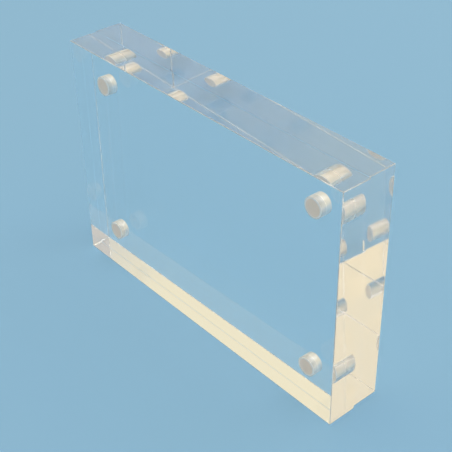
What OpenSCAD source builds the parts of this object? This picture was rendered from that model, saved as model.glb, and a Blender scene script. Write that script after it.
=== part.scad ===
// Magnetic block frame: two clear blocks that four pairs of disc magnets hold face to face.
// Millimetres. X runs along the width, Y from the front to the back and Z up.
// The origin is under the middle of the frame, on the surface that it stands on.

/* [Blocks] */
// Width of each block, which a 6 inch print fills
block_w = 152.4; // [100:0.1:305]
// Height of each block, which a 4 inch print fills
block_h = 101.6; // [70:0.1:254]
// Thickness of each block, half an inch of sheet
block_t = 12.7; // [8:0.1:25]
// Width of the small bevel that eases every outer edge
bevel = 0.3; // [0.2:0.1:2]
// Sideways step between the two blocks, whose magnets pull each other into line: the rear
// block's holes are drilled this far off its middle
slip = 0.8; // [0:0.1:2]

/* [Magnets] */
// Diameter of each disc magnet
magnet_d = 8; // [5:0.1:15]
// Thickness of each disc magnet
magnet_t = 5; // [2:0.1:7]
// Width of the bevel along both rims of a magnet
magnet_rim = 0.3; // [0.1:0.05:0.6]
// From the ends of the front block to the middle of its magnets
inset_x = 16.5; // [10:0.1:30]
// From the top and bottom of the blocks to the middle of the magnets
inset_z = 15.5; // [10:0.1:25]

/* [Fits] */
// Air seam between the blocks, because the magnets stand proud and meet
seam = 0.1; // [0.05:0.05:1]
// Film of glue round each magnet in its hole
glue_side = 0.1; // [0.05:0.05:0.3]
// Film of glue between each magnet and the bottom of its hole
glue_back = 0.1; // [0.05:0.05:0.3]

/* [Hidden] */
// The two sides of the seam, as signs along Y
FRONT = -1;
REAR = 1;
// The ends and levels of a block, as signs along X and Z
LEFT = -1;
RIGHT = 1;
BOTTOM = -1;
TOP = 1;

// Each magnet's outer face lies on the seam's middle plane, half a seam outside its block
hole_d = magnet_d + 2 * glue_side;
hole_depth = magnet_t - seam / 2 + glue_back;
// A hole is cut from a little outside the block, so that its mouth is clean
cut_past = 1;
round_steps = 96;

// Where a block's middle is along X: the front one is half a slip to the right
function block_x(side) = -side * slip / 2;

// The middle of each pair of magnets
function magnet_x(end) = block_x(FRONT) + end * (block_w / 2 - inset_x);
function magnet_z(level) = block_h / 2 + level * (block_h / 2 - inset_z);

// A rectangle with its four corners cut
module outline(w, h) {
    polygon([
        [-w / 2 + bevel, 0], [w / 2 - bevel, 0], [w / 2, bevel], [w / 2, h - bevel],
        [w / 2 - bevel, h], [-w / 2 + bevel, h], [-w / 2, h - bevel], [-w / 2, bevel],
    ]);
}

// The section of a block across one of its edges: square at the seam, bevelled outside
module section(w) {
    polygon([
        [-w / 2, 0], [w / 2, 0], [w / 2, block_t - bevel],
        [w / 2 - bevel, block_t], [-w / 2 + bevel, block_t], [-w / 2, block_t - bevel],
    ]);
}

// A block without its holes, with the seam face at y = 0 and its outer face behind
module bevelled_block() {
    intersection() {
        // Seen from the front
        translate([0, block_t, 0]) rotate([90, 0, 0])
            linear_extrude(block_t) outline(block_w, block_h);
        // Seen from above
        linear_extrude(block_h) section(block_w);
        // Seen from the end
        translate([-block_w / 2, 0, block_h / 2]) rotate([90, 0, 90])
            linear_extrude(block_w) rotate(-90) section(block_h);
    }
}

// A blind hole for one magnet, drilled from the seam face
module magnet_hole() {
    translate([0, -cut_past, 0]) rotate([-90, 0, 0])
        cylinder(d = hole_d, h = hole_depth + cut_past, $fn = round_steps);
}

// One block with its four holes, on its own side of the seam
module block(side) {
    translate([block_x(side), side * seam / 2, 0]) mirror([0, side == FRONT ? 1 : 0, 0])
        difference() {
            bevelled_block();
            for (end = [LEFT, RIGHT], level = [BOTTOM, TOP])
                translate([magnet_x(end) - block_x(side), 0, magnet_z(level)]) magnet_hole();
        }
}

// One disc magnet in its hole, its outer face on the seam's middle plane
module magnet(side, end, level) {
    r = magnet_d / 2;
    color("silver")
        translate([magnet_x(end), 0, magnet_z(level)]) rotate([-90 * side, 0, 0])
            rotate_extrude($fn = round_steps)
                polygon([
                    [0, 0], [r - magnet_rim, 0], [r, magnet_rim],
                    [r, magnet_t - magnet_rim], [r - magnet_rim, magnet_t], [0, magnet_t],
                ]);
}

// The block that the viewer looks through
module front_block() {
    color("lightskyblue", 0.4) block(FRONT);
}

// The block that backs the print
module rear_block() {
    color("powderblue", 0.4) block(REAR);
}

front_block();
rear_block();
magnet(FRONT, LEFT, TOP);  // front_magnet_top_left
magnet(FRONT, RIGHT, TOP);  // front_magnet_top_right
magnet(FRONT, LEFT, BOTTOM);  // front_magnet_bottom_left
magnet(FRONT, RIGHT, BOTTOM);  // front_magnet_bottom_right
magnet(REAR, LEFT, TOP);  // rear_magnet_top_left
magnet(REAR, RIGHT, TOP);  // rear_magnet_top_right
magnet(REAR, LEFT, BOTTOM);  // rear_magnet_bottom_left
magnet(REAR, RIGHT, BOTTOM);  // rear_magnet_bottom_right
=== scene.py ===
import math

import bmesh
import bpy
from mathutils import Matrix, Vector


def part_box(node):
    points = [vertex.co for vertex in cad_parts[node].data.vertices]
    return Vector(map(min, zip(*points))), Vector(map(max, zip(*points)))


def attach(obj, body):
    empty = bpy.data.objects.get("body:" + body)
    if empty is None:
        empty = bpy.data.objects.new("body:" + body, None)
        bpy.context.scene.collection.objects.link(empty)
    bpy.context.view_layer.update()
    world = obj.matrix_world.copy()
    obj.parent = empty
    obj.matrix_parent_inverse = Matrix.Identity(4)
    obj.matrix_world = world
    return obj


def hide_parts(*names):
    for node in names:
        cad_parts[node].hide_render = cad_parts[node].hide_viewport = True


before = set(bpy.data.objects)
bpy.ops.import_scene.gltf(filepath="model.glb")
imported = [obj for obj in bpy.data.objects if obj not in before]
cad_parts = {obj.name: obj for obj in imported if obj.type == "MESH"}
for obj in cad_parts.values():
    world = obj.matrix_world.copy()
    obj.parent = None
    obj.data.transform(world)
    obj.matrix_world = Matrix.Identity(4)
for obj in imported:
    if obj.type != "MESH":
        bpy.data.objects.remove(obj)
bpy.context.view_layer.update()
MM = 0.001


# The two clear blocks are sawn from half-inch cast acrylic sheet and planed square. Their faces
# keep the polish of the cast sheet, their edges are polished after planing, and the outer edges
# are eased. Four blind holes are drilled in each from the face that meets the other block.
BEVEL = 0.3 * MM
BEVEL_STEPS = 4
GLUE_SIDE = 0.1 * MM
GLUE_BACK = 0.1 * MM
HOLE_SIDES = 96
HOLE_CORNER = 0.35 * MM
HOLE_CORNER_STEPS = 2
HOLE_LAND = 0.45 * MM
ACRYLIC_IOR = 1.49
DRILL_GRAIN = 0.35 * MM
FACE, EDGE, EASED, HOLE_WALL, HOLE_END, HOLE_RING = range(6)

# A normal's share along an axis, from which a face counts as square to it, and under which
# it counts as lying along it
SQUARE_TO = 0.999
ALONG = 0.01
# Faces under this area are parts of a round, and edges that turn by more than this are sharp
LARGE_AREA = (20 * MM) ** 2
SHARP_TURN = math.radians(50)
# A hole's own faces are all inside its radius times this
HOLE_REACH = 1.01


class Wire:
    """A socket in a material's nodes. Sums on it add Math nodes, and make() adds any other."""

    def __init__(self, tree, socket=None):
        self.tree = tree
        self.socket = socket

    def make(self, kind, settings=None, inputs=None, output=0):
        """A new node, with its settings and the values or wires of its inputs."""
        node = self.tree.nodes.new("ShaderNode" + kind)
        for name, value in (settings or {}).items():
            setattr(node, name, value)
        for name, value in (inputs or {}).items():
            if isinstance(value, Wire):
                self.tree.links.new(value.socket, node.inputs[name])
            else:
                node.inputs[name].default_value = value
        return Wire(self.tree, node.outputs[output])

    def __add__(self, other):
        return self.make("Math", {"operation": "ADD"}, {0: self, 1: other})

    def __mul__(self, other):
        return self.make("Math", {"operation": "MULTIPLY"}, {0: self, 1: other})

    __radd__ = __add__
    __rmul__ = __mul__

    def above(self, low, high):
        """0 where this is under low, 1 where it is over high, and smooth between."""
        return self.make(
            "MapRange",
            {"interpolation_type": "SMOOTHSTEP"},
            {"Value": self, "From Min": low, "From Max": high},
        )


def noise_at(place, size, detail):
    """Noise from 0 to 1 whose lumps are about size across."""
    return place.make("TexNoise", {}, {"Vector": place, "Scale": 1 / size, "Detail": detail})


def new_finish(name, **plain):
    """A material with one Principled shader: its plain values set, and its object coordinates."""
    finish = bpy.data.materials.new(name)
    finish.use_nodes = True
    tree = finish.node_tree
    shader = tree.nodes["Principled BSDF"]
    for socket, value in plain.items():
        shader.inputs[socket.replace("_", " ")].default_value = value
    place = Wire(tree).make("TexCoord", output="Object")
    return finish, shader, place


def clear_finish(name, colour, share):
    """Acrylic of a colour that lets the share of the light through and scatters the rest."""
    return new_finish(
        name, Transmission_Weight=share, IOR=ACRYLIC_IOR, Base_Color=(*colour, 1)
    )


def feed(shader, **sockets):
    """Links a shader's sockets to the wires that vary over the surface."""
    for name, wire in sockets.items():
        wire.tree.links.new(wire.socket, shader.inputs[name])


def cast_face():
    """The cast faces: a deep polish, with faint smudges where they are handled."""
    finish, shader, place = clear_finish("cast_face", (0.985, 0.995, 1.0), share=1.0)
    smudge = noise_at(place, 22 * MM, detail=4).above(0.52, 0.72)
    feed(shader, Roughness=0.004 + 0.03 * smudge)
    return finish


def planed_edge():
    """The edges: buffed after planing, a little hazier and warmer than the cast faces."""
    finish, shader, place = clear_finish("planed_edge", (0.99, 0.955, 0.945), share=1.0)
    haze = noise_at(place, 12 * MM, detail=3).above(0.4, 0.75)
    feed(shader, Roughness=0.045 + 0.025 * haze)
    return finish


def eased_edge():
    """The narrow bevels: scraped and only half polished, so they catch the light as pale lines."""
    finish, shader, place = clear_finish("eased_edge", (1, 1, 1), share=0.8)
    scrape = noise_at(place, 1.5 * MM, detail=2)
    feed(shader, Roughness=0.06 + 0.16 * scrape)
    return finish


def drilled_wall():
    """The walls of the holes: cut fairly smooth by the flutes of the drill."""
    finish, shader, place = clear_finish("drilled_wall", (1.0, 0.99, 0.95), share=0.5)
    feed(shader, Roughness=0.24 + 0.12 * noise_at(place, DRILL_GRAIN, detail=3))
    return finish


def drilled_end():
    """The flat ends of the holes: frosted by the tip of the drill."""
    finish, shader, place = clear_finish("drilled_end", (1.0, 0.86, 0.75), share=0.5)
    feed(shader, Roughness=0.3 + 0.25 * noise_at(place, DRILL_GRAIN, detail=3))
    return finish


def drilled_ring():
    """The round corner and flat land at the end of each hole: a white ring from the drill."""
    finish, shader, place = clear_finish("drilled_ring", (1, 1, 1), share=0.5)
    feed(shader, Roughness=0.35 + 0.2 * noise_at(place, DRILL_GRAIN, detail=3))
    return finish


def new_piece(name, mesh, finishes):
    """An object in the scene from a finished mesh, which is freed."""
    data = bpy.data.meshes.new(name)
    mesh.to_mesh(data)
    mesh.free()
    for finish in finishes:
        data.materials.append(finish)
    piece = bpy.data.objects.new(name, data)
    bpy.context.scene.collection.objects.link(piece)
    return piece


def hole_for(magnet, into):
    """A magnet's hole: its axis along X and Z, its radius, and its bottom along Y."""
    low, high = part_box(magnet)
    middle = (low + high) / 2
    radius = (high.x - low.x) / 2 + GLUE_SIDE
    bottom = (high.y if into > 0 else low.y) + into * GLUE_BACK
    return middle.x, middle.z, radius, bottom


def finish_of(face, seam, holes):
    """The slot of the finish that a face of a block has."""
    middle = face.calc_center_median()
    normal = [abs(share) for share in face.normal]
    in_hole = abs(middle.y - seam) > GLUE_BACK / 2 and any(
        math.hypot(middle.x - x, middle.z - z) < radius * HOLE_REACH
        for x, z, radius, bottom in holes
    )
    if in_hole and normal[1] < ALONG:
        return HOLE_WALL
    if in_hole:
        return HOLE_END if len(face.verts) == HOLE_SIDES else HOLE_RING
    if normal[1] > SQUARE_TO:
        return FACE
    return EDGE if max(normal) > SQUARE_TO else EASED


def clear_block(node, name, into, magnets, finishes):
    """A block in its CAD node's place. into is 1 where the holes run towards +Y, else -1."""
    low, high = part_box(node)
    seam = low.y if into > 0 else high.y
    mesh = bmesh.new()
    bmesh.ops.create_cube(mesh, size=1)
    bmesh.ops.scale(mesh, vec=high - low, verts=mesh.verts)
    bmesh.ops.translate(mesh, vec=(low + high) / 2, verts=mesh.verts)

    # The edges round the seam face stay sharp, and the others are eased
    outer = [e for e in mesh.edges if any(abs(v.co.y - seam) > BEVEL for v in e.verts)]
    bmesh.ops.bevel(
        mesh, geom=outer, offset=BEVEL, offset_type="OFFSET", segments=BEVEL_STEPS,
        profile=0.5, affect="EDGES", material=-1, clamp_overlap=True,
    )

    # The seam face is opened, and filled again round the mouths of the holes
    seam_face = min(mesh.faces, key=lambda f: abs(f.calc_center_median().y - seam))
    rim = list(seam_face.edges)
    bmesh.ops.delete(mesh, geom=[seam_face], context="FACES_ONLY")
    holes = [hole_for(magnet, into) for magnet in magnets]
    mouths = []
    for x, z, radius, bottom in holes:
        turn = Matrix.Translation((x, seam, z)) @ Matrix.Rotation(math.pi / 2, 4, "X")
        ring = bmesh.ops.create_circle(mesh, segments=HOLE_SIDES, radius=radius, matrix=turn)
        mouths.append(list({e for v in ring["verts"] for e in v.link_edges}))
    bmesh.ops.triangle_fill(
        mesh, edges=rim + [e for mouth in mouths for e in mouth], use_beauty=True
    )

    # Each mouth is drawn down to the hole's bottom, which is closed, given its small round
    # corner, and marked off as a land and an end
    for mouth, (x, z, radius, bottom) in zip(mouths, holes):
        drawn = bmesh.ops.extrude_edge_only(mesh, edges=mouth)["geom"]
        verts = [g for g in drawn if isinstance(g, bmesh.types.BMVert)]
        bmesh.ops.translate(mesh, vec=(0, bottom - seam, 0), verts=verts)
        ring = [g for g in drawn if isinstance(g, bmesh.types.BMEdge)]
        ring = [e for e in ring if all(abs(v.co.y - bottom) < GLUE_BACK / 2 for v in e.verts)]
        bmesh.ops.contextual_create(mesh, geom=ring)
        bmesh.ops.bevel(
            mesh, geom=ring, offset=HOLE_CORNER, segments=HOLE_CORNER_STEPS, profile=0.5,
            affect="EDGES", material=-1,
        )
        end = [f for f in mesh.faces if len(f.verts) == HOLE_SIDES]
        end = [f for f in end if abs(f.calc_center_median().x - x) < HOLE_CORNER]
        end = [f for f in end if abs(f.calc_center_median().z - z) < HOLE_CORNER]
        bmesh.ops.inset_region(mesh, faces=end, thickness=HOLE_LAND)
    bmesh.ops.recalc_face_normals(mesh, faces=mesh.faces)

    for face in mesh.faces:
        face.material_index = finish_of(face, seam, holes)
        face.smooth = face.calc_area() < LARGE_AREA
    for edge in mesh.edges:
        if len(edge.link_faces) == 2 and edge.calc_face_angle() > SHARP_TURN:
            edge.smooth = False
    return new_piece(name, mesh, finishes)


CORNERS = ("top_left", "top_right", "bottom_left", "bottom_right")
acrylic = [
    cast_face(), planed_edge(), eased_edge(), drilled_wall(), drilled_end(), drilled_ring()
]
for side, into in (("front", -1), ("rear", 1)):
    magnets = [f"{side}_magnet_{corner}" for corner in CORNERS]
    block = clear_block(f"{side}_block", f"{side}_clear_block", into, magnets, acrylic)
    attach(block, f"{side}_half")
    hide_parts(f"{side}_block")


# The eight magnets are sintered discs under bright nickel plate, with rounded rims. Each is
# glued in its hole and stands a hair proud of the seam face, so that it meets its partner.
RIM = 0.3 * MM
RIM_STEPS = 3
DISC_SIDES = 96
NICKEL = (1.0, 0.98, 0.93, 1)
SINTER_GRAIN = 0.25 * MM
SINTER_RELIEF = 0.006 * MM
PLATE_CLOUD = 2.5 * MM


def nickel_plate():
    """Nickel plate: satin, with the fine grain of the sintered disc showing through."""
    finish, shader, place = new_finish("nickel_plate", Base_Color=NICKEL, Metallic=1.0)
    grain = noise_at(place, SINTER_GRAIN, detail=3)
    feed(
        shader,
        Roughness=0.36 + 0.12 * noise_at(place, PLATE_CLOUD, detail=2),
        Normal=grain.make(
            "Bump", {}, {"Strength": 1.0, "Distance": SINTER_RELIEF, "Height": grain}
        ),
    )
    return finish


def disc_magnet(node, finish):
    """A disc in its CAD node's place, with both rims rounded."""
    low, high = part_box(node)
    size = high - low
    turn = Matrix.Translation((low + high) / 2) @ Matrix.Rotation(math.pi / 2, 4, "X")
    mesh = bmesh.new()
    bmesh.ops.create_cone(
        mesh, cap_ends=True, segments=DISC_SIDES, radius1=size.x / 2, radius2=size.x / 2,
        depth=size.y, matrix=turn,
    )
    rims = [e for e in mesh.edges if abs(e.verts[0].co.y - e.verts[1].co.y) < size.y / 2]
    bmesh.ops.bevel(
        mesh, geom=rims, offset=RIM, segments=RIM_STEPS, profile=0.5, affect="EDGES", material=-1
    )
    bmesh.ops.recalc_face_normals(mesh, faces=mesh.faces)
    for face in mesh.faces:
        face.smooth = len(face.verts) == 4
    return new_piece(node + "_disc", mesh, [finish])


nickel = nickel_plate()
for side in ("front", "rear"):
    for corner in CORNERS:
        node = f"{side}_magnet_{corner}"
        disc = disc_magnet(node, nickel)
        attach(disc, f"{side}_half")
        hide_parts(node)


# The table that the frame stands on: a plain pale blue sheet, a hair lower than the frame so
# that the two surfaces don't coincide.
TABLE_SPAN = 6.0
TABLE_SIDES = 96
TABLE_COLOUR = (0.25, 0.49, 0.74, 1)
TABLE_ROUGHNESS = 0.8
TABLE_BELOW = 0.03 * MM

mesh = bmesh.new()
bmesh.ops.create_circle(
    mesh, cap_ends=True, segments=TABLE_SIDES, radius=TABLE_SPAN / 2,
    matrix=Matrix.Translation((0, 0, -TABLE_BELOW)),
)
table_top, *_ = new_finish("table_top", Base_Color=TABLE_COLOUR, Roughness=TABLE_ROUGHNESS)
new_piece("table", mesh, [table_top])


# The room, as one sky: warm white walls, a plainer one behind the camera, cooler light
# overhead, and the table's colour below the horizon. The two dull patches, at the back right
# and the far left, are what the two ends of the frame's top face mirror.
WARM_WALL = (0.94, 0.83, 0.58, 1)
PLAIN_WALL = (0.92, 0.87, 0.78, 1)
DULL_WALL = (0.50, 0.52, 0.55, 1)
CORNER = (0.56, 0.50, 0.44, 1)
CEILING = (0.94, 0.94, 0.98, 1)
BELOW = (0.29, 0.47, 0.61, 1)
TOWARDS_PLAIN_WALL = (0.55, -0.83, 0)
TOWARDS_DULL_WALL = (-0.776, 0.493, 0.395)
TOWARDS_CORNER = (0.70, 0.43, 0.57)


def facing(way, direction):
    """How squarely a way faces a direction: 1 straight towards it, and 0 across it."""
    return way.make(
        "VectorMath", {"operation": "DOT_PRODUCT"}, {0: way, 1: direction}, output="Value"
    )


def blend(share, first, second):
    """The colour first where the share is 0, and the colour second where it is 1."""
    factor, first_colour, second_colour, mixed_colour = 0, 6, 7, 2
    return share.make(
        "Mix", {"data_type": "RGBA"},
        {factor: share, first_colour: first, second_colour: second}, output=mixed_colour,
    )


world = bpy.data.worlds.new("room")
bpy.context.scene.world = world
world.use_nodes = True
sky = world.node_tree
way = Wire(sky).make("TexCoord", output="Generated")
rise = way.make("SeparateXYZ", {}, {"Vector": way}, output="Z")
light = blend(facing(way, TOWARDS_PLAIN_WALL).above(0.1, 0.7), WARM_WALL, PLAIN_WALL)
light = blend(facing(way, TOWARDS_DULL_WALL).above(0.965, 0.992), light, DULL_WALL)
light = blend(facing(way, TOWARDS_CORNER).above(0.985, 0.996), light, CORNER)
light = blend(rise.above(0.76, 0.88), light, CEILING)
light = blend(rise.above(-0.05, 0.04), BELOW, light)
sky.links.new(light.socket, sky.nodes["Background"].inputs["Color"])


# One large soft lamp, over the back and to the right of the frame.
LAMP_PLACE = Vector((0.2, 0.75, 1.3))
LAMP_SPAN = 1.0
LAMP_WATTS = 3
LAMP_COLOUR = (1.0, 0.98, 0.94)

lamp = bpy.data.lights.new("soft_lamp", "AREA")
lamp.shape = "SQUARE"
lamp.size = LAMP_SPAN
lamp.energy = LAMP_WATTS
lamp.color = LAMP_COLOUR
soft_lamp = bpy.data.objects.new("soft_lamp", lamp)
soft_lamp.location = LAMP_PLACE
soft_lamp.rotation_euler = LAMP_PLACE.to_track_quat("Z", "Y").to_euler()
bpy.context.scene.collection.objects.link(soft_lamp)


# The camera stands where the photograph was taken from, to the right of the frame and above it.
CAMERA_PLACE = Vector((255.1, -210.05, 271.9)) * MM
AZIMUTH = math.radians(48.40)
ELEVATION = math.radians(35.315)
ROLL = math.radians(-0.26)
SENSOR_WIDTH = 36
FOCAL_LENGTH = 80.665
SHIFT_X, SHIFT_Y = -0.0531, 0.0265
CLIP_START = 0.01

lens = bpy.data.cameras.new("camera")
lens.sensor_width = SENSOR_WIDTH
lens.lens = FOCAL_LENGTH
lens.shift_x = SHIFT_X
lens.shift_y = SHIFT_Y
lens.clip_start = CLIP_START
camera = bpy.data.objects.new("camera", lens)
bpy.context.scene.collection.objects.link(camera)
camera.matrix_world = (
    Matrix.Translation(CAMERA_PLACE)
    @ Matrix.Rotation(AZIMUTH, 4, "Z")
    @ Matrix.Rotation(math.pi / 2 - ELEVATION, 4, "X")
    @ Matrix.Rotation(ROLL, 4, "Z")
)
bpy.context.scene.camera = camera


# Light crosses and mirrors inside the blocks many times before it leaves them, so it may
# bounce often, and none of its paths is blurred.
CLEAR_BOUNCES = 48
MATT_BOUNCES = 16

bpy.context.scene.view_settings.view_transform = "Standard"
cycles = bpy.context.scene.cycles
cycles.max_bounces = CLEAR_BOUNCES
cycles.glossy_bounces = CLEAR_BOUNCES
cycles.transmission_bounces = CLEAR_BOUNCES
cycles.diffuse_bounces = MATT_BOUNCES
cycles.blur_glossy = 0
